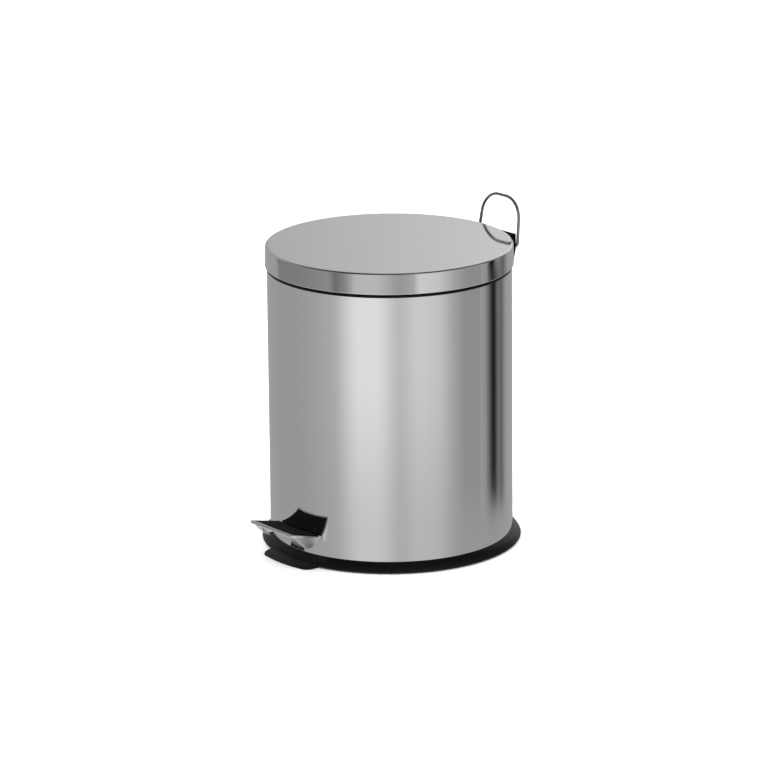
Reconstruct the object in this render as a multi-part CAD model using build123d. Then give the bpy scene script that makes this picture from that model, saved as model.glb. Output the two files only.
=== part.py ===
from build123d import *
import math
import os

os.makedirs("parts", exist_ok=True)

# Pedal bin in millimetres: +Z up, pedal towards -Y, hinge towards +Y, origin on the floor at its axis

# Clearances
seat_gap = 0.05
pin_gap = 0.05
side_gap = 0.2
running_gap = 0.3

# Body shell
body_radius = 102.5
body_sheet = 0.6
body_foot = 5.0
body_top = 234.5

# Bottom plate inside the body
plate_level = 40.0
plate_sheet = 0.6
plate_rim_depth = 7.0
plate_rim_sheet = 0.65
plate_notch_half_width = 5.0

# Base ring with its front tongue and its rubber pads
base_lip_top = 8.7
base_lip_wall = 0.6
base_flare = 7.1
base_flare_level = 2.0
base_toe = 1.3
base_ledge = 4.9
base_bulge = 0.6
tongue_reach = 17.6
tongue_half_width = 30.5
tongue_corner = 8.0
tongue_top = 3.4
tongue_edge = 1.0
pad_count = 4
pad_radius = 4.5
pad_height = 1.4
pad_stand = 0.4

# Collar in the body's mouth
collar_depth = 5.0
collar_flange = 1.7
collar_rise = 12.5
collar_step = 1.2
collar_wall = 3.1
collar_seat_width = 3.7
collar_seat_thickness = 2.5
collar_opening_half_width = 12.0

# Lid
lid_gap = 3.0
lid_overhang = 1.5
lid_depth = 17.7
lid_sheet = 0.6
lid_edge = 2.0
lid_hem_wall = 1.0
lid_hem_depth = 2.0
lid_notch_half_width = 8.5
lid_notch_height = 12.0
buffer_count = 3
buffer_radius = 2.5
buffer_gap = 0.25

# Lid hinge and lift arm
hinge_back = 6.0
hinge_rise = 3.5
hinge_pin_radius = 1.5
hinge_pin_half_length = 19.5
lid_angle = 75.0
lift_reach = 11.0
knuckle_radius = 4.0
cheek_inner = 6.0
cheek_thickness = 1.5
slot_gap = 0.65
slot_wall = 1.9
web_length = 25.0
web_setback = 5.0
web_thickness = 1.4
cheek_drop = 6.4
neck_shoulder = 5.9
neck_gap = 1.3

# Hinge housing
housing_half_width = 20.0
housing_gap_half_width = 9.0
housing_back = 15.5
housing_back_wall = 6.0
housing_low = 12.8
housing_floor = 4.3
housing_high = 4.5
housing_taper = 2.6
housing_shoulder = 11.3
housing_shelf = 7.5
housing_round = 2.0
knuckle_cover = 3.9
collar_cover = 0.4
shell_notch_half_width = 9.5
shell_notch_depth = 6.5

# Housing screws
screw_spread = 14.0
screw_drop = 9.5
screw_shank_radius = 1.5
screw_head_radius = 3.0
screw_head_height = 1.6
screw_reach = 9.0
screw_hole_gap = 0.2

# Carry handle
handle_wire_radius = 1.3
handle_pivot_back = 11.2
handle_pivot_drop = 5.0
handle_foot = 25.5
handle_shoulder = 22.2
handle_height = 40.2
handle_lean = 8.0
handle_corner = 18.8
handle_foot_corner = 3.0
handle_end = 14.0

# Pedal tread, with its top surface measured at the edge next to the body
tread_half_width = 27.8
tread_length = 29.3
tread_rise = 27.2
tread_tilt = 12.5
tread_tuck = 1.0
tread_body_gap = 1.3
tread_sheet = 1.0
tread_corner = 2.0
pad_thickness = 1.6
rim_side = 2.0
rim_front = 2.4
apron_back = 16.0
apron_drop = 13.2
gusset_mid = 6.0
gusset_mid_rise = 0.5
gusset_end = 11.4
gusset_end_rise = 3.7

# Pedal lever and its pivot
lever_half_width = 8.5
lever_sheet = 2.0
lever_front_setback = 8.5
lever_crest = 28.0
lever_tail_setback = 3.5
lever_tail = 19.9
pivot_forward = 15.0
pivot_level = 24.0
ear_thickness = 2.0
ear_radius = 4.5
axle_radius = 2.5
axle_half_length = 15.0
washer_radius = 4.5
tail_ear_inner = 4.0
tail_ear_radius = 3.2
tail_hole_gap = 0.5
slot_head = 1.5
slot_side = 0.5
rivet_radius = 1.6
rivet_head_radius = 2.8
rivet_head_height = 0.8
pedal_rivet_inset = 5.0
pedal_rivet_pitch = 8.0

# Pivot bracket
bracket_sheet = 1.5
bracket_half_length = 12.0
bracket_foot = 19.0
bracket_rivet_half_pitch = 8.0
clip_radius = 4.5
clip_thickness = 1.0

# Lift rod
rod_radius = 1.25
rod_bend = 3.0
rod_low_hook = 9.0
rod_high_hook = 10.0
rod_clip_radius = 3.0
guide_level = 120.0
guide_half_width = 5.0
guide_half_height = 4.0
guide_front = 2.0
guide_gap = 0.1

# Inner bucket
bucket_wall = 1.6
bucket_mouth_gap = 4.5
bucket_taper = 7.0
bucket_floor_gap = 3.4
bucket_flange = 2.5
bucket_flange_gap = 0.4
bucket_rear_gap = 4.75
bucket_corner = 6.0

# Places that several pieces share
inner_radius = body_radius - body_sheet
base_radius = body_radius + base_flare
base_inner = inner_radius - base_ledge
lid_base = body_top + lid_gap
lid_top = lid_base + lid_depth
lid_radius = body_radius + lid_overhang
collar_radius = body_radius - collar_step
collar_inner = collar_radius - collar_wall
collar_top = body_top + collar_rise
bucket_seat = body_top - bucket_flange
hinge_y = body_radius + hinge_back
hinge_z = lid_base + hinge_rise
rod_y = hinge_y - lift_reach
lift_arm = lift_reach / math.cos(math.radians(lid_angle / 2))
lift_half = lift_reach * math.tan(math.radians(lid_angle / 2))
rod_high = hinge_z - lift_half
rod_low = pivot_level - lift_half
cheek_outer = cheek_inner + cheek_thickness
handle_y = hinge_y + handle_pivot_back
handle_z = hinge_z - handle_pivot_drop
pivot_y = -pivot_forward
ear_outer = lever_half_width
washer_outer = ear_outer + 2 * side_gap + bracket_sheet
bracket_inner = washer_outer + side_gap
bracket_outer = bracket_inner + bracket_sheet
tread_back_y = -(body_radius - tread_tuck)
tread_slope = math.tan(math.radians(tread_tilt))


def across(outline, x_low, x_high):
    """Extrude an outline drawn in the YZ plane from one X to another."""
    return extrude(Plane.YZ.offset(x_low) * outline, x_high - x_low, dir=(1, 0, 0))


def both_sides(outline, x_low, x_high):
    """Two like plates, one on each side of the middle plane."""
    return [across(outline, x_low, x_high), across(outline, -x_high, -x_low)]


def polygon(points):
    """Face with straight edges, turned so that all such faces look the same way."""
    ring = points[1:] + points[:1]
    turn = sum(a[0] * b[1] - b[0] * a[1] for a, b in zip(points, ring))
    return make_face(Polyline(*(points if turn > 0 else points[::-1]), close=True))


def disc(y, z, radius):
    return Pos(y, z) * Circle(radius)


def pin(y, z, radius, x_low, x_high):
    return across(disc(y, z, radius), x_low, x_high)


def turned(points):
    """Revolve an outline of radius and height points about the body's axis."""
    return revolve(make_face(Plane.XZ * Polyline(*points, close=True)), Axis.Z)


def drum(radius, low, high):
    return Pos(0, 0, low) * Cylinder(radius, high - low, align=(Align.CENTER, Align.CENTER, Align.MIN))


def block(x_low, x_high, y_low, y_high, z_low, z_high):
    size = (x_high - x_low, y_high - y_low, z_high - z_low)
    return Pos(x_low, y_low, z_low) * Box(*size, align=(Align.MIN, Align.MIN, Align.MIN))


def group(solids):
    return Compound(children=list(solids))


def strip(points, thickness):
    """Outline of a bent strip whose middle line follows the points, with mitred bends."""
    upper = []
    lower = []
    headings = [math.atan2(b[1] - a[1], b[0] - a[0]) for a, b in zip(points, points[1:])]
    for (y, z), into, out in zip(points, headings[:1] + headings, headings + headings[-1:]):
        heading = (into + out) / 2
        reach = thickness / 2 / math.cos((out - into) / 2)
        upper.append((y - reach * math.sin(heading), z + reach * math.cos(heading)))
        lower.append((y + reach * math.sin(heading), z - reach * math.cos(heading)))
    return polygon(upper + lower[::-1])


def tread_height(y):
    """Height of the pad's top surface at a place in front of the body."""
    return tread_rise + (tread_back_y - y) * tread_slope


def lever_line():
    """Middle line of the lever, from under the tread, over the axle and back to the lift rod."""
    drop = (pad_thickness + tread_sheet + lever_sheet / 2) / math.cos(math.radians(tread_tilt))
    front = tread_front_y() + lever_front_setback
    bend = -(body_radius + tread_body_gap / 2)
    return [
        (front, tread_height(front) - drop),
        (bend, tread_height(bend) - drop),
        (pivot_y, lever_crest),
        (rod_y - lever_tail_setback, lever_tail),
    ]


def tread_front_y():
    return tread_back_y - tread_length * math.cos(math.radians(tread_tilt))


def make_body_shell():
    """Rolled and welded steel tube with the lever's slot in front and the lift arm's notch behind."""
    shell = drum(body_radius, body_foot, body_top) - drum(inner_radius, body_foot, body_top)
    slot_half = lever_half_width + slot_side
    slot_top = lever_line()[1][1] + lever_sheet / 2 + slot_head
    slot_front = -(body_radius + body_sheet)
    shell -= block(-slot_half, slot_half, slot_front, 0, base_lip_top + running_gap, slot_top)
    notch_low = body_top - shell_notch_depth
    notch_back = body_radius + body_sheet
    shell -= block(-shell_notch_half_width, shell_notch_half_width, 0, notch_back, notch_low, body_top)
    for side in (-1, 1):
        hole = Pos(side * screw_spread, notch_back, body_top - screw_drop) * Rot(90, 0, 0)
        shell -= hole * Cylinder(screw_shank_radius + screw_hole_gap, body_radius / 5)
    return shell


def make_bottom_plate():
    """Pressed floor with a turned-down rim, notched behind for the lift rod."""
    edge = inner_radius - seat_gap
    plate = drum(edge, plate_level - plate_rim_depth, plate_level + plate_sheet)
    plate -= drum(edge - plate_rim_sheet, plate_level - plate_rim_depth, plate_level)
    notch_y = rod_y - plate_notch_half_width
    low = plate_level - plate_rim_depth
    high = plate_level + plate_sheet
    plate -= block(-plate_notch_half_width, plate_notch_half_width, notch_y, body_radius, low, high)
    for x, y in bracket_rivet_places():
        plate -= Pos(x, y, plate_level) * Cylinder(rivet_radius + seat_gap, 4 * plate_sheet)
    return plate


def pad_places():
    middle = (base_inner + base_radius) / 2
    for index in range(pad_count):
        angle = math.radians(45 + index * 360 / pad_count)
        yield middle * math.cos(angle), middle * math.sin(angle)


def make_base_ring():
    """Moulded base: a flared skirt, a groove for the shell's edge and a tongue under the pedal."""
    lip_inner = body_radius + seat_gap
    lip_outer = lip_inner + base_lip_wall
    crest = (base_radius, base_flare_level)
    top = (lip_outer, base_lip_top)
    middle = ((crest[0] + top[0]) / 2 + base_bulge, (crest[1] + top[1]) / 2 + base_bulge)
    skirt = ThreePointArc(crest, middle, top)
    rest = Polyline(
        top,
        (lip_inner, base_lip_top),
        (lip_inner, body_foot),
        (inner_radius - seat_gap, body_foot),
        (inner_radius - seat_gap, base_lip_top),
        (base_inner, base_lip_top),
        (base_inner, pad_stand),
        (base_radius - base_toe, pad_stand),
        crest,
    )
    ring = revolve(make_face(Plane.XZ * (skirt + rest)), Axis.Z)
    ring += make_tongue()
    for x, y in pad_places():
        ring -= Pos(x, y, 0) * drum(pad_radius + seat_gap, 0, pad_height)
    return ring


def make_tongue():
    """Front tongue of the base: it slopes down to a thin edge, with rounded corners."""
    root = base_inner + base_ledge / 2
    reach = body_radius + tongue_reach
    wedge = turned([
        (root, pad_stand),
        (reach, pad_stand),
        (reach, tongue_edge),
        (base_radius, tongue_top),
        (root, tongue_top),
    ])
    plan = Circle(reach) & Pos(0, -reach / 2) * Rectangle(2 * tongue_half_width, reach)
    plan = fillet(plan.vertices().group_by(Axis.Y)[0], tongue_corner)
    return wedge & extrude(plan, tongue_top)


def make_base_pads():
    return group(Pos(x, y, 0) * drum(pad_radius, 0, pad_height) for x, y in pad_places())


def make_rim_collar():
    """Moulded collar that lines the mouth, caps the shell's edge and carries the bucket."""
    edge = inner_radius - seat_gap
    low = body_top - collar_depth
    collar = turned([
        (collar_inner - collar_seat_width, bucket_seat - collar_seat_thickness),
        (edge, low),
        (edge, body_top),
        (body_radius, body_top),
        (body_radius, body_top + collar_flange),
        (collar_radius, body_top + collar_flange),
        (collar_radius, collar_top),
        (collar_inner, collar_top),
        (collar_inner, bucket_seat),
        (collar_inner - collar_seat_width, bucket_seat),
    ])
    half = collar_opening_half_width
    return collar - block(-half, half, 0, lid_radius, low, collar_top)


def make_lid_shell():
    """Pressed lid: flat top, rounded edge and hemmed skirt, notched behind for the bracket."""
    outer = lid_radius
    inner_edge = lid_edge - lid_sheet
    corner = (outer - lid_edge, lid_top - lid_edge)
    diagonal = math.sqrt(0.5)
    outer_arc = ThreePointArc(
        (outer, corner[1]),
        (corner[0] + lid_edge * diagonal, corner[1] + lid_edge * diagonal),
        (corner[0], lid_top),
    )
    inner_arc = ThreePointArc(
        (corner[0], lid_top - lid_sheet),
        (corner[0] + inner_edge * diagonal, corner[1] + inner_edge * diagonal),
        (outer - lid_sheet, corner[1]),
    )
    ceiling = lid_top - lid_sheet
    top = Polyline((corner[0], lid_top), (0, lid_top), (0, ceiling), (corner[0], ceiling))
    skirt = Polyline(
        (outer - lid_sheet, corner[1]),
        (outer - lid_sheet, lid_base + lid_hem_depth),
        (outer - lid_hem_wall, lid_base + lid_hem_depth),
        (outer - lid_hem_wall, lid_base),
        (outer, lid_base),
        (outer, corner[1]),
    )
    lid = revolve(make_face(Plane.XZ * (outer_arc + top + inner_arc + skirt)), Axis.Z)
    half = lid_notch_half_width
    return lid - block(-half, half, 0, lid_radius + lid_sheet, lid_base, lid_base + lid_notch_height)


def make_lid_buffers():
    """Rubber stops under the lid that meet the collar's top edge."""
    middle = lid_radius - lid_edge - buffer_radius
    low = collar_top + buffer_gap
    stops = []
    for index in range(buffer_count):
        angle = math.radians(index * 360 / buffer_count - 90)
        place = Pos(middle * math.cos(angle), middle * math.sin(angle), 0)
        stops.append(place * drum(buffer_radius, low, lid_top - lid_sheet))
    return group(stops)


def make_lid_bracket():
    """Bent bracket spot-welded under the lid, with two knuckles on the pin and a slotted lift arm."""
    ceiling = lid_top - lid_sheet
    back = lid_radius - web_setback
    front = back - web_length
    slope = -math.degrees(math.atan2(lift_half, lift_reach))
    arm = Pos(hinge_y, hinge_z) * Rot(0, 0, 180 - slope)
    tip_radius = rod_radius + slot_gap + slot_wall
    tip = (hinge_y - lift_reach, rod_high)
    lean = math.radians(slope)
    normal = (math.sin(lean), math.cos(lean))
    link = polygon([
        (hinge_y + knuckle_radius * normal[0], hinge_z + knuckle_radius * normal[1]),
        (hinge_y - knuckle_radius * normal[0], hinge_z - knuckle_radius * normal[1]),
        (tip[0] - tip_radius * normal[0], tip[1] - tip_radius * normal[1]),
        (tip[0] + tip_radius * normal[0], tip[1] + tip_radius * normal[1]),
    ])
    neck = polygon([
        (front, ceiling),
        (back, ceiling),
        (hinge_y - neck_shoulder, lid_base + lid_notch_height - neck_gap),
        (hinge_y, hinge_z + hinge_pin_radius + slot_wall),
        (hinge_y, hinge_z - hinge_pin_radius - slot_wall),
        (rod_y, hinge_z - knuckle_radius),
        (rod_y - bucket_rear_gap + running_gap, ceiling - cheek_drop),
        (front, ceiling - cheek_drop),
    ])
    cheek = link + neck + disc(hinge_y, hinge_z, knuckle_radius) + disc(*tip, tip_radius)
    cheek -= disc(hinge_y, hinge_z, hinge_pin_radius + pin_gap)
    slot_length = lift_arm - lift_reach + 2 * (rod_radius + slot_gap)
    slot_middle = (lift_arm + lift_reach) / 2
    cheek -= arm * Pos(slot_middle, 0) * SlotOverall(slot_length, 2 * (rod_radius + slot_gap))
    sides = both_sides(cheek, cheek_inner, cheek_outer)
    web = block(-cheek_outer, cheek_outer, front, back, ceiling - web_thickness, ceiling)
    return web + sides[0] + sides[1]


def make_hinge_housing():
    """Moulded block behind the body, with two cheeks for the pin and sockets for the handle."""
    low = body_top - housing_low
    high = hinge_z + housing_high
    back = hinge_y + housing_back
    front = body_radius - housing_half_width
    ledge = body_top + collar_flange + collar_cover
    cover_y = hinge_y - knuckle_cover
    cover_top = hinge_z + knuckle_cover
    diagonal = knuckle_cover * math.sqrt(0.5)
    crown = ThreePointArc(
        (hinge_y, cover_top),
        (hinge_y - diagonal, hinge_z + diagonal),
        (cover_y, hinge_z),
    )
    rest = Polyline(
        (cover_y, hinge_z),
        (cover_y, ledge),
        (front, ledge),
        (front, low),
        (back - housing_taper, low),
        (back, low + housing_shoulder),
        (back, high),
        (hinge_y + housing_shelf, high),
        (hinge_y, cover_top),
    )
    housing = across(make_face(crown + rest), -housing_half_width, housing_half_width)
    rear_edges = housing.edges().filter_by(Axis.Z).group_by(Axis.Y)[-1]
    housing = fillet(rear_edges, housing_round)
    housing -= drum(body_radius + seat_gap, low, ledge)
    gap = housing_gap_half_width
    housing -= block(-gap, gap, front, back - housing_back_wall, low + housing_floor, high)
    housing -= pin(hinge_y, hinge_z, hinge_pin_radius + seat_gap, -housing_half_width, housing_half_width)
    depth = handle_end - running_gap
    for x_low, x_high in ((depth, housing_half_width), (-housing_half_width, -depth)):
        housing -= pin(handle_y, handle_z, handle_wire_radius + pin_gap, x_low, x_high)
    for side in (-1, 1):
        housing -= screw_place(side) * Cylinder(screw_shank_radius + seat_gap, 2 * (screw_reach + seat_gap))
    return housing


def screw_place(side):
    """Frame at the head's seat on the inner wall, turned so that the screw points backwards."""
    edge = screw_spread + screw_head_radius
    seat = math.sqrt(inner_radius ** 2 - edge ** 2)
    return Pos(side * screw_spread, seat, body_top - screw_drop) * Rot(-90, 0, 0)


def make_housing_screws():
    up = (Align.CENTER, Align.CENTER, Align.MIN)
    down = (Align.CENTER, Align.CENTER, Align.MAX)
    screws = []
    for side in (-1, 1):
        shank = Cylinder(screw_shank_radius, screw_reach, align=up)
        head = fillet(
            Cylinder(screw_head_radius, screw_head_height, align=down).edges().group_by(Axis.Z)[0],
            screw_head_height / 2,
        )
        screws.append(screw_place(side) * (shank + head))
    return group(screws)


def make_hinge_pin():
    return pin(hinge_y, hinge_z, hinge_pin_radius, -hinge_pin_half_length, hinge_pin_half_length)


def make_carry_handle():
    """Bent wire loop whose ends turn inwards into the housing's sockets."""
    points = [
        (handle_end, 0),
        (handle_foot, 0),
        (handle_shoulder, handle_height),
        (-handle_shoulder, handle_height),
        (-handle_foot, 0),
        (-handle_end, 0),
    ]
    radii = [handle_foot_corner, handle_corner, handle_corner, handle_foot_corner]
    lean = math.radians(handle_lean)
    loop = Plane((0, handle_y, handle_z), x_dir=(1, 0, 0), z_dir=(0, -math.cos(lean), math.sin(lean)))
    path = loop * FilletPolyline(*points, radius=radii)
    section = Pos(handle_end, handle_y, handle_z) * Rot(0, 90, 0) * Circle(handle_wire_radius)
    return sweep(section, path=path)


def tread_frame():
    """Frame on the pad's top at the body: X across, Y to the free edge, Z out of the tread."""
    lean = math.radians(tread_tilt)
    return Plane(
        origin=(0, tread_back_y, tread_rise),
        x_dir=(-1, 0, 0),
        z_dir=(0, math.sin(lean), math.cos(lean)),
    )


def make_pedal_plate():
    """Pressed pedal: a tray for the pad, a slanted front apron and two side gussets."""
    frame = tread_frame()
    floor = -pad_thickness - tread_sheet
    half = tread_half_width
    length = tread_length
    tray = block(-half, half, -tread_length, length, floor, 0)
    tray = fillet(tray.edges().filter_by(Axis.Z).group_by(Axis.Y)[-1], tread_corner)
    tray -= fillet(
        block(-half + rim_side, half - rim_side, -2 * tread_length, length - rim_front, -pad_thickness, 1)
        .edges().filter_by(Axis.Z).group_by(Axis.Y)[-1],
        tread_corner - rim_side / 2,
    )
    tray = frame * tray
    front = tread_front_y()
    front_top = tread_height(front) - rim_front
    low = front_top - apron_drop
    heel = front + apron_back
    tail = heel + gusset_end
    gusset = polygon([
        (front + rim_front / 2, front_top + rim_front / 2),
        (front + rim_front / 4, front_top),
        (heel, low),
        (heel + gusset_mid, low + gusset_mid_rise),
        (tail, low + gusset_end_rise),
        (tail, tread_height(tail) - pad_thickness),
    ])
    sides = both_sides(gusset, half - tread_sheet, half)
    apron = strip([
        (front + rim_front / 2 + tread_sheet / 2, front_top - tread_sheet / 2),
        (heel + tread_sheet / 2, low + tread_sheet / 2),
    ], tread_sheet)
    plate = tray + across(apron, -half + tread_corner / 2, half - tread_corner / 2) + sides[0] + sides[1]
    plate -= drum(body_radius + tread_body_gap, 0, body_top)
    for place in pedal_rivet_places():
        plate -= place * Cylinder(rivet_radius + seat_gap, tread_sheet * 8)
    return plate


def make_pedal_pad():
    """Moulded pad that fills the tray, with pockets for the rivet heads."""
    edge = rim_side + seat_gap
    end = tread_length - rim_front - seat_gap
    half = tread_half_width - edge
    pad = block(-half, half, -tread_length, end, -pad_thickness, 0)
    pad = fillet(pad.edges().filter_by(Axis.Z).group_by(Axis.Y)[-1], tread_corner - rim_side / 2)
    pad = tread_frame() * pad - drum(body_radius + tread_body_gap, 0, body_top)
    for place in pedal_rivet_places():
        pad -= place * Cylinder(rivet_head_radius + seat_gap, 2 * (rivet_head_height + seat_gap))
    return pad


def pedal_rivet_places():
    """Frames on the tray's floor, under the pad, at each rivet."""
    for index in range(2):
        along = tread_length - lever_front_setback - pedal_rivet_inset - index * pedal_rivet_pitch
        yield tread_frame() * Pos(0, along, -pad_thickness)


def make_pedal_rivets():
    """Rivets with one head under the pad and one under the lever."""
    up = (Align.CENTER, Align.CENTER, Align.MIN)
    down = (Align.CENTER, Align.CENTER, Align.MAX)
    grip = tread_sheet + lever_sheet
    rivets = []
    for place in pedal_rivet_places():
        rivet = Cylinder(rivet_head_radius, rivet_head_height, align=up)
        rivet += Cylinder(rivet_radius, grip, align=down)
        rivet += Pos(0, 0, -grip) * Cylinder(rivet_head_radius, rivet_head_height, align=down)
        rivets.append(place * rivet)
    return group(rivets)


def make_pedal_lever():
    """Bent strip lever with two ears on the axle and one ear behind for the lift rod's hook."""
    line = lever_line()
    lever = across(strip(line, lever_sheet), -lever_half_width, lever_half_width)
    ear = disc(pivot_y, pivot_level, ear_radius)
    ear += polygon([
        (pivot_y - ear_radius, pivot_level),
        (pivot_y + ear_radius, pivot_level),
        (pivot_y + ear_radius, lever_crest),
        (pivot_y - ear_radius, lever_crest),
    ])
    for plate in both_sides(ear, ear_outer - ear_thickness, ear_outer):
        lever += plate
    tail_y, tail_z = line[-1]
    tail = disc(rod_y, rod_low, tail_ear_radius) + polygon([
        (tail_y - 2 * tail_ear_radius, tail_z),
        (tail_y, tail_z),
        (rod_y + tail_ear_radius * math.sqrt(0.5), rod_low + tail_ear_radius * math.sqrt(0.5)),
        (rod_y - tail_ear_radius * math.sqrt(0.5), rod_low - tail_ear_radius * math.sqrt(0.5)),
    ])
    lever += across(tail, tail_ear_inner, tail_ear_inner + ear_thickness)
    lever -= pin(pivot_y, pivot_level, axle_radius + pin_gap, -lever_half_width, lever_half_width)
    lever -= pin(rod_y, rod_low, rod_radius + tail_hole_gap, 0, lever_half_width)
    for place in pedal_rivet_places():
        lever -= place * Cylinder(rivet_radius + seat_gap, 4 * (tread_sheet + lever_sheet))
    return lever


def make_pivot_bracket():
    """Bent U bracket riveted under the bottom plate."""
    half = bracket_half_length
    cheek = polygon([
        (pivot_y - half, plate_level),
        (pivot_y + half, plate_level),
        (pivot_y + ear_radius, bracket_foot),
        (pivot_y - ear_radius, bracket_foot),
    ])
    cheek -= disc(pivot_y, pivot_level, axle_radius + seat_gap)
    low = plate_level - bracket_sheet
    bracket = block(-bracket_outer, bracket_outer, pivot_y - half, pivot_y + half, low, plate_level)
    for plate in both_sides(cheek, bracket_inner, bracket_outer):
        bracket += plate
    for x, y in bracket_rivet_places():
        bracket -= Pos(x, y, plate_level) * Cylinder(rivet_radius + seat_gap, 4 * bracket_sheet)
    return bracket


def bracket_rivet_places():
    for side in (-1, 1):
        for end in (-1, 1):
            yield side * (bracket_inner - washer_radius), pivot_y + end * bracket_rivet_half_pitch


def make_bracket_rivets():
    up = (Align.CENTER, Align.CENTER, Align.MIN)
    down = (Align.CENTER, Align.CENTER, Align.MAX)
    grip = plate_sheet + bracket_sheet
    rivets = []
    for x, y in bracket_rivet_places():
        rivet = Cylinder(rivet_head_radius, rivet_head_height, align=up)
        rivet += Cylinder(rivet_radius, grip, align=down)
        rivet += Pos(0, 0, -grip) * Cylinder(rivet_head_radius, rivet_head_height, align=down)
        rivets.append(Pos(x, y, plate_level + plate_sheet) * rivet)
    return group(rivets)


def make_pedal_axle():
    return pin(pivot_y, pivot_level, axle_radius, -axle_half_length, axle_half_length)


def make_pivot_washers():
    ring = disc(pivot_y, pivot_level, washer_radius) - disc(pivot_y, pivot_level, axle_radius + pin_gap)
    return group(both_sides(ring, ear_outer + side_gap, washer_outer))


def make_axle_clips():
    ring = disc(pivot_y, pivot_level, clip_radius) - disc(pivot_y, pivot_level, axle_radius + seat_gap)
    low = bracket_outer + side_gap
    return group(both_sides(ring, low, low + clip_thickness))


def make_lift_rod():
    """Upright wire rod with a hook at each end."""
    points = [(rod_low_hook, rod_low), (0, rod_low), (0, rod_high), (rod_high_hook, rod_high)]
    upright = Plane((0, rod_y, 0), x_dir=(1, 0, 0), z_dir=(0, -1, 0))
    path = upright * FilletPolyline(*points, radius=rod_bend)
    section = Pos(rod_low_hook, rod_y, rod_low) * Rot(0, 90, 0) * Circle(rod_radius)
    return sweep(section, path=path)


def make_rod_clips():
    clips = []
    for height, beside in ((rod_low, tail_ear_inner + ear_thickness), (rod_high, cheek_outer)):
        ring = disc(rod_y, height, rod_clip_radius) - disc(rod_y, height, rod_radius + seat_gap)
        clips.append(across(ring, beside + running_gap, beside + running_gap + clip_thickness))
    return group(clips)


def make_rod_guide():
    """Small moulded guide fixed to the inner wall, with a hole that the rod slides through."""
    half = guide_half_width
    low = guide_level - guide_half_height
    high = guide_level + guide_half_height
    guide = block(-half, half, rod_y - rod_radius - guide_front, body_radius, low, high)
    guide &= drum(inner_radius - seat_gap, low, high)
    return guide - Pos(0, rod_y, 0) * drum(rod_radius + guide_gap, low, high)


def make_inner_bucket():
    """Moulded bucket that hangs by its flange on the collar, cut flat behind for the rod."""
    low = plate_level + plate_sheet + bucket_floor_gap
    flange_radius = collar_inner - bucket_flange_gap
    mouth = collar_inner - collar_seat_width - bucket_mouth_gap
    foot = mouth - bucket_taper
    outside = turned([(0, low), (foot, low), (mouth, bucket_seat), (mouth, body_top), (0, body_top)])
    outside = fillet(outside.edges().filter_by(GeomType.CIRCLE).sort_by(Axis.Z)[0], bucket_corner)
    rear = rod_y - rod_radius - bucket_rear_gap
    flange = drum(flange_radius, bucket_seat, body_top)
    flange -= block(-body_radius, body_radius, rear, body_radius, bucket_seat, body_top)
    wall = bucket_wall
    inside = turned([
        (0, low + wall),
        (foot - wall, low + wall),
        (mouth - wall, bucket_seat),
        (mouth - wall, body_top),
        (0, body_top),
    ])
    inside = fillet(inside.edges().filter_by(GeomType.CIRCLE).sort_by(Axis.Z)[0], bucket_corner - wall)
    return outside + flange - inside


nodes = {
    "body_shell": make_body_shell,
    "bottom_plate": make_bottom_plate,
    "base_ring": make_base_ring,
    "base_pads": make_base_pads,
    "rim_collar": make_rim_collar,
    "hinge_housing": make_hinge_housing,
    "housing_screws": make_housing_screws,
    "hinge_pin": make_hinge_pin,
    "pivot_bracket": make_pivot_bracket,
    "bracket_rivets": make_bracket_rivets,
    "pedal_axle": make_pedal_axle,
    "pivot_washers": make_pivot_washers,
    "axle_clips": make_axle_clips,
    "rod_guide": make_rod_guide,
    "lid_shell": make_lid_shell,
    "lid_bracket": make_lid_bracket,
    "lid_buffers": make_lid_buffers,
    "pedal_plate": make_pedal_plate,
    "pedal_pad": make_pedal_pad,
    "pedal_rivets": make_pedal_rivets,
    "pedal_lever": make_pedal_lever,
    "lift_rod": make_lift_rod,
    "rod_clips": make_rod_clips,
    "inner_bucket": make_inner_bucket,
    "carry_handle": make_carry_handle,
}

for name, make in nodes.items():
    export_step(make(), f"parts/{name}.step")
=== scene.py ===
import math
import bmesh
import bpy
from mathutils import Euler, Matrix, Vector


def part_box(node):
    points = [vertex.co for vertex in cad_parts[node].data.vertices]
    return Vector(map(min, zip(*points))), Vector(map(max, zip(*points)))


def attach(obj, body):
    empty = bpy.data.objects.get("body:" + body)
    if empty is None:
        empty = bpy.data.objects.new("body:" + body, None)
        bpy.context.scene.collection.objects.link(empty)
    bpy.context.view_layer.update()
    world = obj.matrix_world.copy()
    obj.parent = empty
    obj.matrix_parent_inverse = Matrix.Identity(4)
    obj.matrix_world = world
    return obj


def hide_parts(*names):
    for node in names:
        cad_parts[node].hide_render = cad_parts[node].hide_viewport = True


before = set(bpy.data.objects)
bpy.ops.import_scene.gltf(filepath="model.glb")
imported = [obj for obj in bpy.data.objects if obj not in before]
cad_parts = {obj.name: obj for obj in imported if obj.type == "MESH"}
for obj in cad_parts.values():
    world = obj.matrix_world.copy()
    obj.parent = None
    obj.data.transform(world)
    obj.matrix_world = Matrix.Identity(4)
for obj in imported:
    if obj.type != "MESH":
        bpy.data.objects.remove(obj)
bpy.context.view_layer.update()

# Body shell: a tube of mirror-polished stainless sheet, rolled and welded along the back.
# It stands in the base ring's groove; the slot in front lets the pedal's lever out,
# and the notch behind lets the lid's lift arm through.


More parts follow.
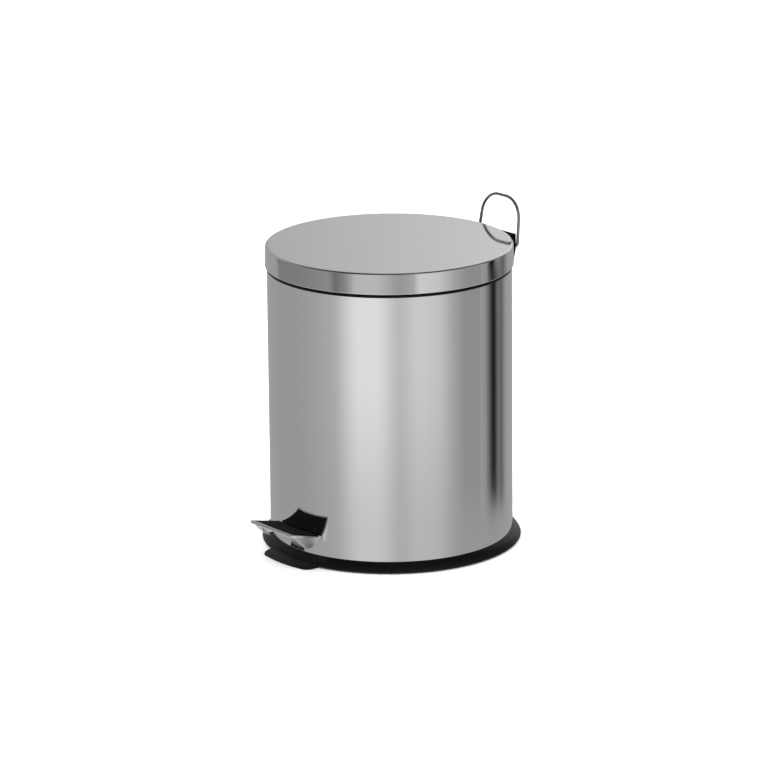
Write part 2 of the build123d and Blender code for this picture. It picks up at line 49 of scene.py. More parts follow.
class Field:
    """A socket in a node tree; sums, differences and products of fields add Math nodes there."""

    def __init__(self, tree, socket=None):
        self.tree = tree
        self.socket = socket

    def node(self, kind, settings, sockets, output):
        """Add a node, set it up, feed its sockets with values or fields, and return one output."""
        made = self.tree.nodes.new(kind)
        for name, value in settings.items():
            setattr(made, name, value)
        for name, value in sockets.items():
            if isinstance(value, Field):
                self.tree.links.new(value.socket, made.inputs[name])
            else:
                made.inputs[name].default_value = value
        return Field(self.tree, made.outputs[output])

    def maths(self, operation, *values):
        """A Math node fed with numbers or fields."""
        return self.node("ShaderNodeMath", {"operation": operation}, dict(enumerate(values)), "Value")

    def __abs__(self):
        return self.maths("ABSOLUTE", self)

    def __add__(self, other):
        return self.maths("ADD", self, other)

    def __sub__(self, other):
        return self.maths("SUBTRACT", self, other)

    def __mul__(self, other):
        return self.maths("MULTIPLY", self, other)

    def __rsub__(self, other):
        return self.maths("SUBTRACT", other, self)

    __radd__ = __add__
    __rmul__ = __mul__

    def axis(self, letter):
        """One coordinate of a vector."""
        return self.node("ShaderNodeSeparateXYZ", {}, {"Vector": self}, letter)

    def noise(self, scale, detail=2.0):
        """Cloudy values about one half; scale is in patches per metre, or one per direction."""
        if isinstance(scale, tuple):
            stretched = self.node("ShaderNodeVectorMath", {"operation": "MULTIPLY"}, {0: self, 1: scale}, 0)
            return stretched.noise(1.0, detail)
        return self.node("ShaderNodeTexNoise", {}, {"Vector": self, "Scale": scale, "Detail": detail}, 0)

    def fade(self, full, none):
        """One up to full, falling smoothly to zero at none."""
        span = {"Value": self, "From Min": full, "From Max": none, "To Min": 1.0, "To Max": 0.0}
        return self.node("ShaderNodeMapRange", {"interpolation_type": "SMOOTHSTEP"}, span, 0)

    def bump(self, depth, strength=1.0):
        """Normal of a surface with this height field, whose full range is depth metres."""
        return self.node("ShaderNodeBump", {}, {"Height": self, "Distance": depth, "Strength": strength}, 0)

    def tint(self, first, second):
        """Colour between two others, by this field."""
        colors = {"Factor": self, 6: (*first, 1.0), 7: (*second, 1.0)}
        return self.node("ShaderNodeMix", {"data_type": "RGBA"}, colors, 2)


def finish(name, color, metallic, roughness, specular=0.5, /, **varying):
    """Material with its even values set on the shader and the fields that vary over it linked there."""
    material = bpy.data.materials.new(name)
    material.use_nodes = True
    tree = material.node_tree
    shader = tree.nodes["Principled BSDF"]
    shader.inputs["Base Color"].default_value = (*color, 1.0)
    shader.inputs["Metallic"].default_value = metallic
    shader.inputs["Roughness"].default_value = roughness
    shader.inputs["Specular IOR Level"].default_value = specular
    place = Field(tree).node("ShaderNodeTexCoord", {}, {}, "Object")
    for socket, field in varying.items():
        tree.links.new(field(place).socket, shader.inputs[socket.replace("_", " ").title()])
    return material


def station(angle, outline):
    """A radius and height outline, set at an angle about the body's axis, from the pedal's side."""
    return [(r * math.sin(angle), -r * math.cos(angle), z) for r, z in outline]


same_point = 1e-6
no_length = 1e-7
crease = math.radians(32)


def loft(name, rings, joined=False, open_rings=False, left_out=None, sheet=0.0):
    """Smooth piece through rings of points; the row of rings is joined to itself or filled at its ends.

    With open rings and a sheet thickness the surface becomes a sheet that is thick on its inside.
    """
    mesh = bmesh.new()
    rows = [[mesh.verts.new(point) for point in ring] for ring in rings]
    for first, second in zip(rows, rows[1:] + rows[:1] if joined else rows[1:]):
        for index in range(len(first) - open_rings):
            after = (index + 1) % len(first)
            corners = (first[index], first[after], second[after], second[index])
            middle = sum((corner.co for corner in corners), Vector()) / 4
            if left_out is None or not left_out(middle):
                mesh.faces.new(corners)
    if not joined:
        mesh.faces.new(rows[0])
        mesh.faces.new(rows[-1])
    bmesh.ops.remove_doubles(mesh, verts=mesh.verts, dist=same_point)
    bmesh.ops.dissolve_degenerate(mesh, edges=mesh.edges, dist=no_length)
    bmesh.ops.recalc_face_normals(mesh, faces=mesh.faces)
    if sheet:
        bmesh.ops.solidify(mesh, geom=mesh.faces, thickness=sheet)
    data = bpy.data.meshes.new(name)
    mesh.to_mesh(data)
    mesh.free()
    data.shade_smooth()
    data.set_sharp_from_angle(angle=crease)
    piece = bpy.data.objects.new(name, data)
    bpy.context.scene.collection.objects.link(piece)
    return piece


def fit(piece, body, node, material):
    """Give a piece its finish and let it ride on its body in place of the CAD node."""
    piece.data.materials.append(material)
    weighted = piece.modifiers.new("even_shading", "WEIGHTED_NORMAL")
    weighted.keep_sharp = True
    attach(piece, body)
    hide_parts(node)


def turn(count, *edges):
    """Angles all the way round, with more at the edges of cut-outs."""
    even = [2 * math.pi * index / count - math.pi for index in range(count)]
    return sorted(even + list(edges))


shell_low, shell_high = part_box("body_shell")
shell_radius = shell_high.x
shell_sheet = 0.0006
round_steps = 288
slot_half, slot_low, slot_top = 0.009, 0.009, 0.02638
notch_half, notch_low = 0.0095, 0.228


def shell_cut(point):
    """Whether a patch of the shell lies in the lever's slot or the lift arm's notch."""
    in_slot = point.y < 0 and abs(point.x) < slot_half and slot_low < point.z < slot_top
    return in_slot or (point.y > 0 and abs(point.x) < notch_half and point.z > notch_low)


slot_edge = math.asin(slot_half / shell_radius)
notch_edge = math.pi - math.asin(notch_half / shell_radius)
shell_heights = [shell_low.z, slot_low, slot_top, notch_low, shell_high.z]
shell_rings = [
    station(angle, [(shell_radius, height) for height in shell_heights])
    for angle in turn(round_steps, -slot_edge, slot_edge, -notch_edge, notch_edge)
]
shell = loft("shell", shell_rings, joined=True, open_rings=True, left_out=shell_cut, sheet=shell_sheet)


def weld_seam(place):
    """One along the thin weld at the back, zero elsewhere."""
    return abs(place.axis("X")).fade(0.0002, 0.0006) * place.axis("Y").fade(0.001, 0.0)


polished_steel = finish(
    "polished_steel", (0.78, 0.77, 0.76), 1.0, 0.05,
    roughness=lambda place: 0.035 + 0.03 * place.noise(34.0, 5.0) + 0.25 * weld_seam(place),
    normal=lambda place: (place.noise((2600.0, 2600.0, 30.0)) + 3.0 * weld_seam(place)).bump(0.000004, 0.5),
)
fit(shell, "can", "body_shell", polished_steel)

# Bottom plate, pivot bracket and their rivets: zinc-plated pressings inside the foot of the body.
# The plate carries the bracket, and the bracket carries the axle that the pedal's lever tips on.


def dress(material, *names):
    """Give CAD nodes that stay as they are their finish."""
    for name in names:
        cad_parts[name].data.materials.clear()
        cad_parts[name].data.materials.append(material)


zinc_steel = finish(
    "zinc_steel", (0.6, 0.61, 0.63), 1.0, 0.34,
    base_color=lambda place: place.noise(420.0, 3.0).tint((0.5, 0.51, 0.53), (0.68, 0.69, 0.7)),
    roughness=lambda place: 0.24 + 0.2 * place.noise(900.0, 3.0),
    normal=lambda place: place.noise((60.0, 2400.0, 2400.0)).bump(0.00002, 0.4),
)
dress(zinc_steel, "bottom_plate", "pivot_bracket", "bracket_rivets", "pedal_axle", "axle_clips")
washer_nylon = finish(
    "washer_nylon", (0.75, 0.74, 0.7), 0.0, 0.45,
    roughness=lambda place: 0.38 + 0.16 * place.noise(1500.0),
)
dress(washer_nylon, "pivot_washers")

# Base ring: one black moulding with a flared skirt and a tongue under the pedal that slopes to the floor.
# The shell's lower edge sits in its groove, and four rubber pads under it stand on the floor.

base_low, base_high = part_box("base_ring")
flare_radius = base_high.x
flare_level = 0.002
base_bulge = 0.0006
lip_wall = 0.00065
lip_radius = shell_radius + lip_wall
seat_gap = 0.00005
base_inner = 0.097
underside = base_low.z
tongue_reach = -base_low.y
tongue_half = 0.0305
tongue_corner = 0.008
tongue_top = 0.0034
tongue_edge = 0.001
tongue_steps = 12
nose_start = 0.0008
nose_back = 0.00015
nose_round = 0.0004
foot_draft = 0.0001
toe_share = 0.03
toe_round = [(0.0, 0.0), (0.0001, 0.0005), (0.0004, 0.0009), (0.0008, 0.0013)]
toe_foot = 0.0013
skirt_steps = 10
corner_x = tongue_half - tongue_corner
corner_y = math.sqrt((tongue_reach - tongue_corner) ** 2 - corner_x ** 2)


def base_reach(angle):
    """Radius of the base at the floor: the round skirt, or the tongue where that comes further forward."""
    across, forward = abs(math.sin(angle)), math.cos(angle)
    if forward <= 0 or across * flare_radius >= tongue_half:
        return flare_radius
    if across * corner_y <= forward * corner_x:
        return tongue_reach
    beside = corner_x * forward - corner_y * across
    if abs(beside) < tongue_corner:
        rounded_off = corner_x * across + corner_y * forward + math.sqrt(tongue_corner ** 2 - beside ** 2)
        if rounded_off * forward >= corner_y:
            return max(flare_radius, rounded_off)
    return max(flare_radius, tongue_half / across)


def flare(share):
    """Point on the skirt's swelling outer face, from the crest at zero to the lip at one."""
    swell = 4 * share * (1 - share) * base_bulge
    radius = flare_radius + share * (lip_radius - flare_radius)
    return radius + swell, flare_level + share * (base_high.z - flare_level) + swell


flare_rise = base_high.z - flare_level + 4 * base_bulge
tongue_depth = 16 * base_bulge * (tongue_top - flare_level)
tongue_share = (flare_rise - math.sqrt(flare_rise ** 2 - tongue_depth)) / (8 * base_bulge)
tongue_slope = (tongue_edge - tongue_top) / (tongue_reach - flare_radius)


def base_outline(reach):
    """Section of the base whose foot reaches this far out: a rounded toe, or the tongue's slope."""
    on_tongue = reach > flare_radius + same_point
    root = tongue_share if on_tongue else toe_share
    skirt = [flare(1 - index / skirt_steps * (1 - root)) for index in range(skirt_steps + 1)]
    if on_tongue:
        brow = max(flare_radius, reach - nose_start)
        height = tongue_top + tongue_slope * (brow - flare_radius)
        foot = [
            (flare_radius, tongue_top),
            (brow, height),
            (reach - nose_back, height - nose_round / 2),
            (reach, height - nose_round),
            (reach - foot_draft, underside),
        ]
    else:
        foot = [(flare_radius - back, flare_level - down) for back, down in toe_round]
        foot.append((flare_radius - toe_foot, underside))
    groove_out = shell_radius + seat_gap
    groove_in = shell_radius - shell_sheet - seat_gap
    groove_floor = shell_low.z
    return skirt + foot + [
        (base_inner, underside),
        (base_inner, base_high.z),
        (groove_in, base_high.z),
        (groove_in, groove_floor),
        (groove_out, groove_floor),
        (groove_out, base_high.z),
    ]


corner_angle = math.atan2(corner_x, corner_y)
root_angle = math.asin(tongue_half / flare_radius)
tongue_angles = [
    side * (corner_angle + (root_angle - corner_angle) * step / tongue_steps)
    for side in (-1, 1)
    for step in range(tongue_steps + 1)
]
base_angles = turn(round_steps, *tongue_angles)
base_rings = [station(angle, base_outline(base_reach(angle))) for angle in base_angles]
base = loft("base", base_rings, joined=True)


def moulded_grain(place):
    """Fine spark-eroded grain of a moulded surface."""
    return place.noise(3200.0, 3.0)


black_plastic = finish(
    "black_plastic", (0.0015, 0.0015, 0.0015), 0.0, 0.36, 0.2,
    base_color=lambda place: place.noise(60.0, 4.0).tint((0.001, 0.001, 0.001), (0.002, 0.002, 0.002)),
    roughness=lambda place: 0.28 + 0.16 * moulded_grain(place),
    normal=lambda place: moulded_grain(place).bump(0.00003, 0.35),
)
fit(base, "can", "base_ring", black_plastic)

black_rubber = finish(
    "black_rubber", (0.03, 0.03, 0.03), 0.0, 0.8,
    roughness=lambda place: 0.7 + 0.2 * place.noise(1800.0),
)
dress(black_rubber, "base_pads")

# Rim collar: a black moulding pressed into the body's mouth.
# Its flange caps the sheet's edge, its upstand guides the lid, and its inner ledge carries the bucket.


def rounded(corners, steps=6):
    """Outline with each corner (a, b, radius) rounded off; a corner of radius zero stays one point."""
    points = []
    for index, (a, b, radius) in enumerate(corners):
        corner = Vector((a, b))
        if radius == 0:
            points.append((a, b))
            continue
        before = (Vector(corners[index - 1][:2]) - corner).normalized()
        after = (Vector(corners[(index + 1) % len(corners)][:2]) - corner).normalized()
        half = before.angle(after) / 2
        middle = corner + (before + after).normalized() * radius / math.sin(half)
        start = corner + before * radius / math.tan(half) - middle
        sweep = start.angle_signed(corner + after * radius / math.tan(half) - middle)
        for step in range(steps + 1):
            turned = Matrix.Rotation(-sweep * step / steps, 2) @ start
            points.append(tuple(middle + turned))
    return points


collar_low, collar_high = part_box("rim_collar")
collar_radius = 0.1013
collar_inner = 0.0982
collar_ledge = 0.0945
ledge_top = 0.232
flange_top = 0.2362
collar_edge = shell_radius - shell_sheet - seat_gap
collar_gap_half = 0.012
collar_gap = math.asin(collar_gap_half / collar_inner)
collar_steps = 256
collar_section = rounded([
    (collar_ledge, collar_low.z, 0.0005),
    (collar_edge, collar_low.z, 0.0004),
    (collar_edge, shell_high.z, 0),
    (shell_radius, shell_high.z, 0),
    (shell_radius, flange_top, 0.0005),
    (collar_radius, flange_top, 0.0003),
    (collar_radius, collar_high.z, 0.0008),
    (collar_inner, collar_high.z, 0.0008),
    (collar_inner, ledge_top, 0.0006),
    (collar_ledge, ledge_top, 0.0005),
])
collar_sweep = 2 * math.pi - 2 * collar_gap
collar_angles = [
    collar_gap - math.pi + collar_sweep * index / collar_steps
    for index in range(collar_steps + 1)
]
collar = loft("collar", [station(angle, collar_section) for angle in collar_angles])
fit(collar, "can", "rim_collar", black_plastic)

# Hinge housing: a black moulded block screwed to the body's back, through the sheet from inside.
# Its two cheeks hold the lid's hinge pin, and sockets in its sides hold the carry handle's ends.

housing_low, housing_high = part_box("hinge_housing")
housing_half = housing_high.x
housing_bay = 0.009
housing_wall = 0.006
housing_taper = 0.0026
housing_shoulder = 0.0113
housing_floor = 0.0043
housing_shelf = 0.0075
housing_round = 0.002
hinge_y, hinge_z = 0.1085, 0.241
knuckle_cover = 0.0039
knuckle_steps = 9
housing_ledge = 0.2366


def housing_section(x, in_bay):
    """Side outline of the block at one place across it: a whole cheek, or open for the lift arm's bay."""
    front = math.sqrt((shell_radius + seat_gap) ** 2 - x * x)
    over = max(0.0, abs(x) - housing_half + housing_round)
    back = housing_high.y - housing_round + math.sqrt(housing_round ** 2 - over ** 2)
    low, high = housing_low.z, housing_high.z
    outside = [(front, low), (back - housing_taper, low), (back, low + housing_shoulder), (back, high)]
    if in_bay:
        inner = (back - housing_wall, low + housing_floor)
        wall = [(back - housing_wall, high)] + [inner] * (knuckle_steps + 2)
        return outside + wall + [(front, low + housing_floor)]
    crown = [
        (hinge_y - knuckle_cover * math.sin(turned), hinge_z + knuckle_cover * math.cos(turned))
        for turned in (math.pi / 2 * step / knuckle_steps for step in range(knuckle_steps + 1))
    ]
    shelf = (hinge_y + housing_shelf, high)
    return outside + [shelf] + crown + [(hinge_y - knuckle_cover, housing_ledge), (front, housing_ledge)]


bay_places = [0.0, 0.0045, housing_bay]
cheek_places = [housing_bay, 0.0125, 0.015]
cheek_places += [housing_half - housing_round * (1 - math.sin(math.pi / 2 * step / 5)) for step in range(6)]
right_half = [(x, True) for x in bay_places] + [(x, False) for x in cheek_places]
housing_places = [(-x, in_bay) for x, in_bay in right_half[:0:-1]] + right_half
housing_rings = [[(x, y, z) for y, z in housing_section(x, in_bay)] for x, in_bay in housing_places]
housing = loft("housing", housing_rings)
housing_edges = housing.modifiers.new("soft_edges", "BEVEL")
housing_edges.width = 0.0005
housing_edges.segments = 3
housing_edges.limit_method = "ANGLE"
housing_edges.angle_limit = math.radians(40)
matt_plastic = finish(
    "matt_plastic", (0.002, 0.002, 0.002), 0.0, 0.65, 0.04,
    roughness=lambda place: 0.58 + 0.16 * moulded_grain(place),
    normal=lambda place: moulded_grain(place).bump(0.00004, 0.4),
)
fit(housing, "can", "hinge_housing", matt_plastic)
dress(zinc_steel, "housing_screws", "hinge_pin")

# Lid: pressed from the same polished sheet, with a flat top, a rounded edge and a hemmed skirt.
# A notch behind clears the bracket that is welded under it and turns on the hinge pin.

lid_low, lid_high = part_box("lid_shell")
lid_radius = lid_high.x
lid_edge = 0.002
lid_sheet = 0.0006
lid_draft = 0.0004
hem_wall = 0.001
hem_depth = 0.002
hem_round = 0.0004
top_margin = 0.001
skirt_margin = 0.0006
lid_notch_half = 0.0085
lid_notch_height = 0.012
lid_notch_top = lid_low.z + lid_notch_height
lid_notch_steps = 8
lid_inside = lid_radius - lid_sheet - lid_draft
lid_section = rounded([
    (0.0, lid_high.z, 0),
    (lid_radius * 0.5, lid_high.z, 0),
    (lid_radius - lid_edge - top_margin, lid_high.z, 0),
    (lid_radius - lid_draft, lid_high.z, lid_edge),
    (lid_radius - lid_draft * 0.75, lid_high.z - lid_edge - skirt_margin, 0),
    (lid_radius, lid_low.z, hem_round),
    (lid_radius - hem_wall, lid_low.z, hem_round),
    (lid_radius - hem_wall, lid_low.z + hem_depth, 0),
    (lid_inside, lid_low.z + hem_depth, 0),
    (lid_inside, lid_high.z - lid_sheet, lid_edge - lid_sheet),
    (0.0, lid_high.z - lid_sheet, 0),
], steps=10)
lid_notched = [(radius, max(height, lid_notch_top)) for radius, height in lid_section]
lid_notch_edge = math.pi - math.asin(lid_notch_half / lid_radius)
lid_angles = [lid_notch_edge * (2 * index / round_steps - 1) for index in range(round_steps + 1)]
notch_span = 2 * math.pi - 2 * lid_notch_edge
notch_angles = [
    lid_notch_edge + notch_span * index / lid_notch_steps
    for index in range(lid_notch_steps + 1)
]
lid_rings = [station(angle, lid_section) for angle in lid_angles]
lid_rings += [station(angle, lid_notched) for angle in notch_angles]
lid = loft("lid", lid_rings, joined=True, open_rings=True)


marks_full = lid_high.z - 0.0035
marks_end = lid_high.z - 0.0015


def lid_brushing(place):
    """Slight drawing marks up the skirt, left by the press, which end below the rounded edge."""
    return place.noise((260.0, 260.0, 6.0), 3.0) * place.axis("Z").fade(marks_full, marks_end)


lid_steel = finish(
    "lid_steel", (0.78, 0.77, 0.76), 1.0, 0.05,
    roughness=lambda place: 0.03 + 0.03 * place.noise(40.0, 5.0),
    normal=lambda place: lid_brushing(place).bump(0.00012, 0.5),
)
fit(lid, "lid", "lid_shell", lid_steel)
dress(zinc_steel, "lid_bracket")
dress(black_rubber, "lid_buffers")

# Pedal lever with its rivets: a bent zinc-plated strip that tips on the axle.
# Its front end carries the tread, and its tail lifts the rod.

dress(zinc_steel, "pedal_lever", "pedal_rivets")

# Pedal plate: a chromed pressing with a shallow tray for the pad, a slanted, arched apron under
# its free edge and a gusset at each end. It is riveted to the lever through the tray's floor.

tread_tilt = math.radians(12.5)
tread_back = -0.1015
tread_rise = 0.0272
tread_length = 0.0293
tread_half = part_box("pedal_plate")[1].x
tread_corner = 0.002
least_corner = 0.0008
tread_rear_radius = shell_radius + 0.0009
tread_sheet = 0.001
pad_thickness = 0.0016
rim_side = 0.002
rim_front = 0.0024
rear_steps = 24


def on_tread(across, along, above):
    """Point in the frame of the tread: across the can, along to the free edge, and above the pad's top."""
    return (
        across,
        tread_back - along * math.cos(tread_tilt) + above * math.sin(tread_tilt),
        tread_rise + along * math.sin(tread_tilt) + above * math.cos(tread_tilt),
    )


def tread_outline(side, front, rear=0.0):
    """Outline of the tread, drawn in from its sides, its free edge and its hollow edge at the body."""
    half = tread_half - side
    end = tread_length - front
    radius = max(tread_corner - (side + front) / 4, least_corner)
    free = rounded([
        (half, 0.0, 0),
        (half, end, radius),
        (-half, end, radius),
        (-half, 0.0, 0),
    ], steps=7)[1:-1]
    behind = []
    for step in range(rear_steps + 1):
        across = half * (2 * step / rear_steps - 1)
        reach = math.sqrt((tread_rear_radius + rear) ** 2 - across ** 2)
        behind.append((across, (reach + tread_back) / math.cos(tread_tilt)))
    return free, behind


def tread_ring(side, front, above, above_rear, rear=0.0):
    """Ring of points round the tread at one height, and at its own height along the hollow edge."""
    free, behind = tread_outline(side, front, rear)
    return [on_tread(*point, above) for point in free] + [on_tread(*point, above_rear) for point in behind]


tray_floor = -pad_thickness
tray_under = tray_floor - tread_sheet
rim_top = -0.0002
tray = loft("pedal_tray", [
    tread_ring(0.0004, 0.0004, tray_under, tray_under),
    tread_ring(0.0, 0.0, tray_under + 0.0005, tray_floor - 0.0002),
    tread_ring(0.0, 0.0, rim_top - 0.0005, tray_floor),
    tread_ring(0.0002, 0.0002, rim_top - 0.0002, tray_floor),
    tread_ring(0.0006, 0.0006, rim_top, tray_floor),
    tread_ring(rim_side - 0.0003, rim_front - 0.0003, rim_top, tray_floor),
    tread_ring(rim_side, rim_front, rim_top - 0.0003, tray_floor),
    tread_ring(rim_side, rim_front, tray_floor, tray_floor),
])
chromed_steel = finish(
    "chromed_steel", (0.8, 0.8, 0.8), 1.0, 0.2,
    roughness=lambda place: 0.15 + 0.12 * place.noise(120.0, 4.0),
    normal=lambda place: place.noise(500.0, 3.0).bump(0.00002, 0.4),
)
fit(tray, "pedal", "pedal_plate", chromed_steel)

apron_back = 0.016
apron_drop = 0.0132
apron_leg = 0.004
apron_brow = 0.06
apron_swell = 0.0009
apron_inset = 0.0016
apron_lap = 0.0006
apron_steps = 8
arch_steps = 24
apron_front = tread_back - tread_length * math.cos(tread_tilt)
apron_top = tread_rise + tread_length * math.sin(tread_tilt) - rim_front
apron_half = tread_half - apron_inset


def apron_ring(x, depth):
    """Section of the slanted, swelled sheet at one place across the pedal, cut off at this share of it."""
    start = Vector((apron_front + rim_front / 2, apron_top + apron_lap))
    slant = Vector((apron_back - rim_front / 2, -apron_drop - apron_lap))
    outward = Vector((slant.y, -slant.x)).normalized()
    outside = []
    for step in range(apron_steps + 1):
        down = depth * step / apron_steps
        outside.append(start + slant * down + outward * apron_swell * 4 * down * (1 - down))
    inside = [point - outward * tread_sheet for point in reversed(outside)]
    return [(x, *point) for point in outside + inside]


apron_places = [(-apron_half, 1.0)]
for step in range(arch_steps + 1):
    turned = math.pi * (step / arch_steps - 0.5)
    across = math.copysign(math.sqrt(abs(math.sin(turned))), turned)
    apron_places.append(((apron_half - apron_leg) * across, 1 - (1 - apron_brow) * math.cos(turned)))
apron_places.append((apron_half, 1.0))
apron = loft("pedal_apron", [apron_ring(x, depth) for x, depth in apron_places])
satin_chrome = finish(
    "satin_chrome", (0.7, 0.7, 0.7), 1.0, 0.4,
    roughness=lambda place: 0.34 + 0.14 * place.noise((40.0, 300.0, 300.0), 3.0),
    normal=lambda place: place.noise((120.0, 1400.0, 1400.0), 3.0).bump(0.00003, 0.4),
)
fit(apron, "pedal", "pedal_plate", satin_chrome)

heel = apron_front + apron_back
heel_low = apron_top - apron_drop
gusset_inset = 0.0001
gusset_belly = heel + 0.006
belly_rise = 0.0005
gusset_tail = heel + 0.0114
tail_rise = 0.0037
gusset_back = tread_rise + (tread_back - gusset_tail) * math.tan(tread_tilt) - pad_thickness
gusset_section = rounded([
    (apron_front + rim_front * 0.7, apron_top + rim_front * 0.2, 0.0003),
    (heel, heel_low, 0.002),
    (gusset_belly, heel_low + belly_rise, 0.004),
    (gusset_tail, heel_low + tail_rise, 0.002),
    (gusset_tail, gusset_back, 0.0006),
])
for side, end in ((-1, "left"), (1, "right")):
    outside = side * (tread_half - gusset_inset)
    gusset = loft("pedal_gusset_" + end, [
        [(outside - side * depth, y, z) for y, z in gusset_section]
        for depth in (0.0, tread_sheet)
    ])
    gusset_edges = gusset.modifiers.new("soft_edges", "BEVEL")
    gusset_edges.width = 0.0003
    gusset_edges.segments = 2
    fit(gusset, "pedal", "pedal_plate", chromed_steel)

# Pedal pad: a black moulded mat that lies in the pedal plate's tray.
# Its top has a fine grain, and its edges are rounded over to the steel rim.

pad_gap = 0.00005
pad = loft("pedal_mat", [
    tread_ring(rim_side + pad_gap, rim_front + pad_gap, tray_floor, tray_floor),
    tread_ring(rim_side + pad_gap, rim_front + pad_gap, -0.0005, -0.0005),
    tread_ring(rim_side + 0.0002, rim_front + 0.0002, -0.0002, -0.0002, 0.0001),
    tread_ring(rim_side + 0.0006, rim_front + 0.0006, 0.0, 0.0, 0.0005),
])
pedal_rubber = finish(
    "pedal_rubber", (0.003, 0.003, 0.003), 0.0, 0.62, 0.06,
    base_color=lambda place: place.noise(90.0, 4.0).tint((0.002, 0.0016, 0.002), (0.004, 0.0035, 0.004)),
    roughness=lambda place: 0.52 + 0.2 * moulded_grain(place),
    normal=lambda place: moulded_grain(place).bump(0.00006, 0.4),
)
fit(pad, "pedal", "pedal_pad", pedal_rubber)

# Lift rod, its clips and its guide: a zinc-plated wire with a hook at each end.
# It stands behind the bucket, slides in a small guide on the wall, and pushes the lid's lift arm up.

dress(zinc_steel, "lift_rod", "rod_clips")
dress(black_plastic, "rod_guide")

# Inner bucket: a dark moulded bucket that lifts out.
# Its flange hangs on the collar's ledge and is cut flat behind, where the lift rod passes.

bucket_low, bucket_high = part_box("inner_bucket")
bucket_wall = 0.0016
bucket_mouth = 0.09
bucket_foot = 0.083
bucket_flange = -bucket_low.y
bucket_flat = bucket_high.y
bucket_steps = 192
flange_depth = 0.0025
flange_under = bucket_high.z - flange_depth
floor_rise = 0.0012
foot_ring = 0.012
foot_slope = 0.0005


def bucket_section(angle):
    """Section of the bucket, whose flange stops at the flat behind."""
    behind = -math.cos(angle)
    reach = min(bucket_flange, bucket_flat / behind) if behind > 0 else bucket_flange
    return rounded([
        (0.0, bucket_low.z + floor_rise, 0),
        (bucket_foot - foot_ring, bucket_low.z + floor_rise, 0.0004),
        (bucket_foot - foot_ring + foot_slope, bucket_low.z, 0.0002),
        (bucket_foot, bucket_low.z, 0.004),
        (bucket_mouth, flange_under, 0.0004),
        (reach, flange_under, 0.0004),
        (reach, bucket_high.z, 0.0008),
        (bucket_mouth - bucket_wall, bucket_high.z, 0.001),
        (bucket_foot - bucket_wall, bucket_low.z + bucket_wall + floor_rise, 0.0044),
        (0.0, bucket_low.z + bucket_wall + floor_rise, 0),
    ], steps=4)


flat_edge = math.pi - math.acos(bucket_flat / bucket_flange)
bucket_angles = turn(bucket_steps, -flat_edge, flat_edge)
bucket_rings = [station(angle, bucket_section(angle)) for angle in bucket_angles]
bucket = loft("bucket", bucket_rings, joined=True, open_rings=True)
bucket_plastic = finish(
    "bucket_plastic", (0.05, 0.05, 0.052), 0.0, 0.4,
    base_color=lambda place: place.noise(50.0, 4.0).tint((0.042, 0.042, 0.044), (0.06, 0.06, 0.062)),
    roughness=lambda place: 0.34 + 0.14 * moulded_grain(place),
    normal=lambda place: moulded_grain(place).bump(0.00002, 0.3),
)
fit(bucket, "bucket", "inner_bucket", bucket_plastic)

# Carry handle: one length of bright plated wire, bent to a loop.
# Its ends turn inwards into the housing's sockets, so that it swings back and down.

handle_wire = 0.0013
handle_y, handle_z = 0.1197, 0.236
handle_lean = math.radians(8)
handle_end = 0.014
handle_foot = 0.0255
handle_shoulder = 0.0222
handle_height = 0.0402
foot_bend = 0.003
shoulder_bend = 0.0188
wire_sides = 16
handle_path = rounded([
    (handle_end, 0.0, 0),
    (handle_foot, 0.0, foot_bend),
    (handle_shoulder, handle_height, shoulder_bend),
    (-handle_shoulder, handle_height, shoulder_bend),
    (-handle_foot, 0.0, foot_bend),
    (-handle_end, 0.0, 0),
], steps=16)
handle_points = [
    Vector((x, handle_y + up * math.sin(handle_lean), handle_z + up * math.cos(handle_lean)))
    for x, up in handle_path
]
handle_side = Vector((0, -math.cos(handle_lean), math.sin(handle_lean)))
handle_rings = []
neighbours = zip(handle_points[:1] + handle_points, handle_points[1:] + handle_points[-1:])
for point, (before, after) in zip(handle_points, neighbours):
    outward = (after - before).cross(handle_side).normalized()
    turns = [math.tau * step / wire_sides for step in range(wire_sides)]
    spokes = [outward * math.cos(turned) + handle_side * math.sin(turned) for turned in turns]
    handle_rings.append([point + handle_wire * spoke for spoke in spokes])
handle = loft("handle", handle_rings)
handle_plating = finish(
    "handle_plating", (0.38, 0.38, 0.39), 1.0, 0.14,
    roughness=lambda place: 0.1 + 0.1 * place.noise(300.0, 4.0),
    normal=lambda place: place.noise(1400.0, 3.0).bump(0.00001, 0.4),
)
fit(handle, "carry_handle", "carry_handle", handle_plating)

# Studio: a pale floor, a white surround and soft panels that the polished steel mirrors.
# The camera stands where the photograph's does, in front and to the right, and looks slightly down.

floor_half = 6
floor_corners = [(x * floor_half, y * floor_half, 0) for x, y in ((-1, -1), (1, -1), (1, 1), (-1, 1))]
floor_mesh = bpy.data.meshes.new("floor")
floor_mesh.from_pydata(floor_corners, [], [(0, 1, 2, 3)])
floor = bpy.data.objects.new("floor", floor_mesh)
bpy.context.scene.collection.objects.link(floor)
floor_paint = finish("floor_paint", (0.93, 0.93, 0.93), 0.0, 0.9)
floor.data.materials.append(floor_paint)
floor.visible_glossy = False

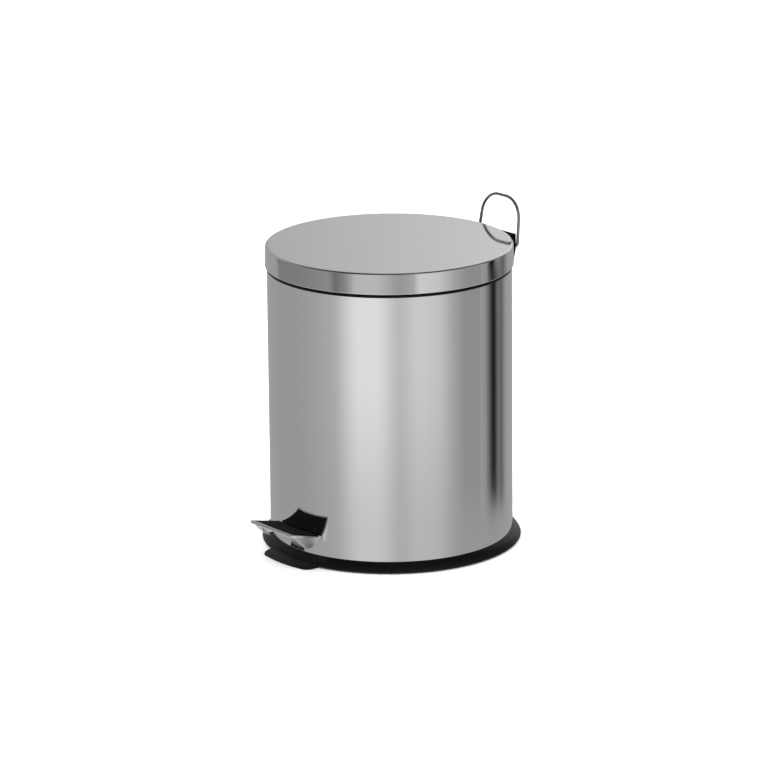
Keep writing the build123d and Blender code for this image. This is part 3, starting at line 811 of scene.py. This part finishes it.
camera_turn = math.radians(50.5)
camera_distance = 3.6644
camera_height = 1.1851
camera_left = 0.0054
camera_dip = 0.2797
camera_roll = -0.0093
camera_data = bpy.data.cameras.new("camera")
camera_data.lens = 212.5
camera_data.sensor_width = 36.0
camera_data.clip_end = 50.0
camera = bpy.data.objects.new("camera", camera_data)
bpy.context.scene.collection.objects.link(camera)
camera_right = Vector((math.cos(camera_turn), math.sin(camera_turn), 0))
camera_away = Vector((math.sin(camera_turn), -math.cos(camera_turn), 0))
camera_place = camera_away * camera_distance - camera_right * camera_left + Vector((0, 0, camera_height))
camera_aim = Euler((math.pi / 2 - camera_dip, 0, camera_turn)).to_matrix()
camera_aim = camera_aim @ Matrix.Rotation(camera_roll, 3, "Z")
camera.matrix_world = Matrix.Translation(camera_place) @ camera_aim.to_4x4()
bpy.context.scene.camera = camera
bpy.context.scene.view_settings.view_transform = "Standard"

studio = bpy.data.worlds.new("studio")
studio.use_nodes = True
bpy.context.scene.world = studio
surround = studio.node_tree.nodes["Background"]
surround.inputs["Color"].default_value = (1.0, 1.0, 1.0, 1.0)
heading = Field(studio.node_tree).node("ShaderNodeTexCoord", {}, {}, "Generated")
bearing = heading.maths("ARCTAN2", heading.axis("Y"), heading.axis("X"))


def panel(middle, half, edge):
    """Soft panel that stands upright on a bearing, in degrees to the right of the camera."""
    offset = bearing - (camera_turn - math.pi / 2 + math.radians(middle))
    wrapped = offset.maths("WRAP", offset, math.pi, -math.pi)
    return abs(wrapped).fade(math.radians(half), math.radians(half + edge))


# The steel mirrors pale walls with three soft boxes, which are dimmer towards the floor.
rise = heading.axis("Z")
panels = 0.2 * panel(-12, 4, 90) + 0.35 * panel(-22, 6, 30) + 0.24 * panel(36, 6, 28)
walls = 0.39 + panels * (1 - 0.45 * rise.fade(-0.31, -0.272))

# Dark screens and flags at the right give the body its dark strip, and strips give the lid's skirt its own.
over_rim = 1 - rise.fade(-0.24, -0.225)
off_floor = 1 - rise.fade(-0.3045, -0.2985)
screens = 0.05 * panel(86, 10, 10) - 0.12 * panel(98, 2, 5) + 0.14 * panel(117, 14, 14)
screens += 0.09 * panel(128.5, 2, 5)
flags = screens * off_floor + 0.23 * panel(114, 1, 11) * off_floor * (1 - over_rim)
strips = (0.24 * panel(108.5, 1, 8) + 0.12 * panel(-124, 1, 4) + 0.28 * panel(-45, 5, 9)) * over_rim

# The skirt is shaded at the left. The lid's top mirrors a bright patch of sky behind the can, and the floor
# glows under steep views from above, where the ceiling that the lid mirrors is dark.
shade = 1 - 0.36 * panel(-50, 70, 8) * (1 - rise.fade(-0.25, -0.235))
sky = (1 - rise.fade(-0.12, 0.2)) * 0.38 * panel(160, 15.5, 9)
ceiling = 1 - rise.fade(0.45, 0.85)
glow = 0.3 * rise.fade(-0.5, -0.34)
mirrored = ((walls - flags - strips) * shade + sky + glow) * (1 - 0.8 * ceiling)

# The camera sees plain white, reflections see the walls, and all other light is even.
even_light = 1.75
rays = Field(studio.node_tree)
seen = rays.node("ShaderNodeLightPath", {}, {}, "Is Camera Ray")
glossy = rays.node("ShaderNodeLightPath", {}, {}, "Is Glossy Ray")
light = seen + glossy * mirrored + (1 - seen - glossy) * even_light
studio.node_tree.links.new(light.socket, surround.inputs["Strength"])
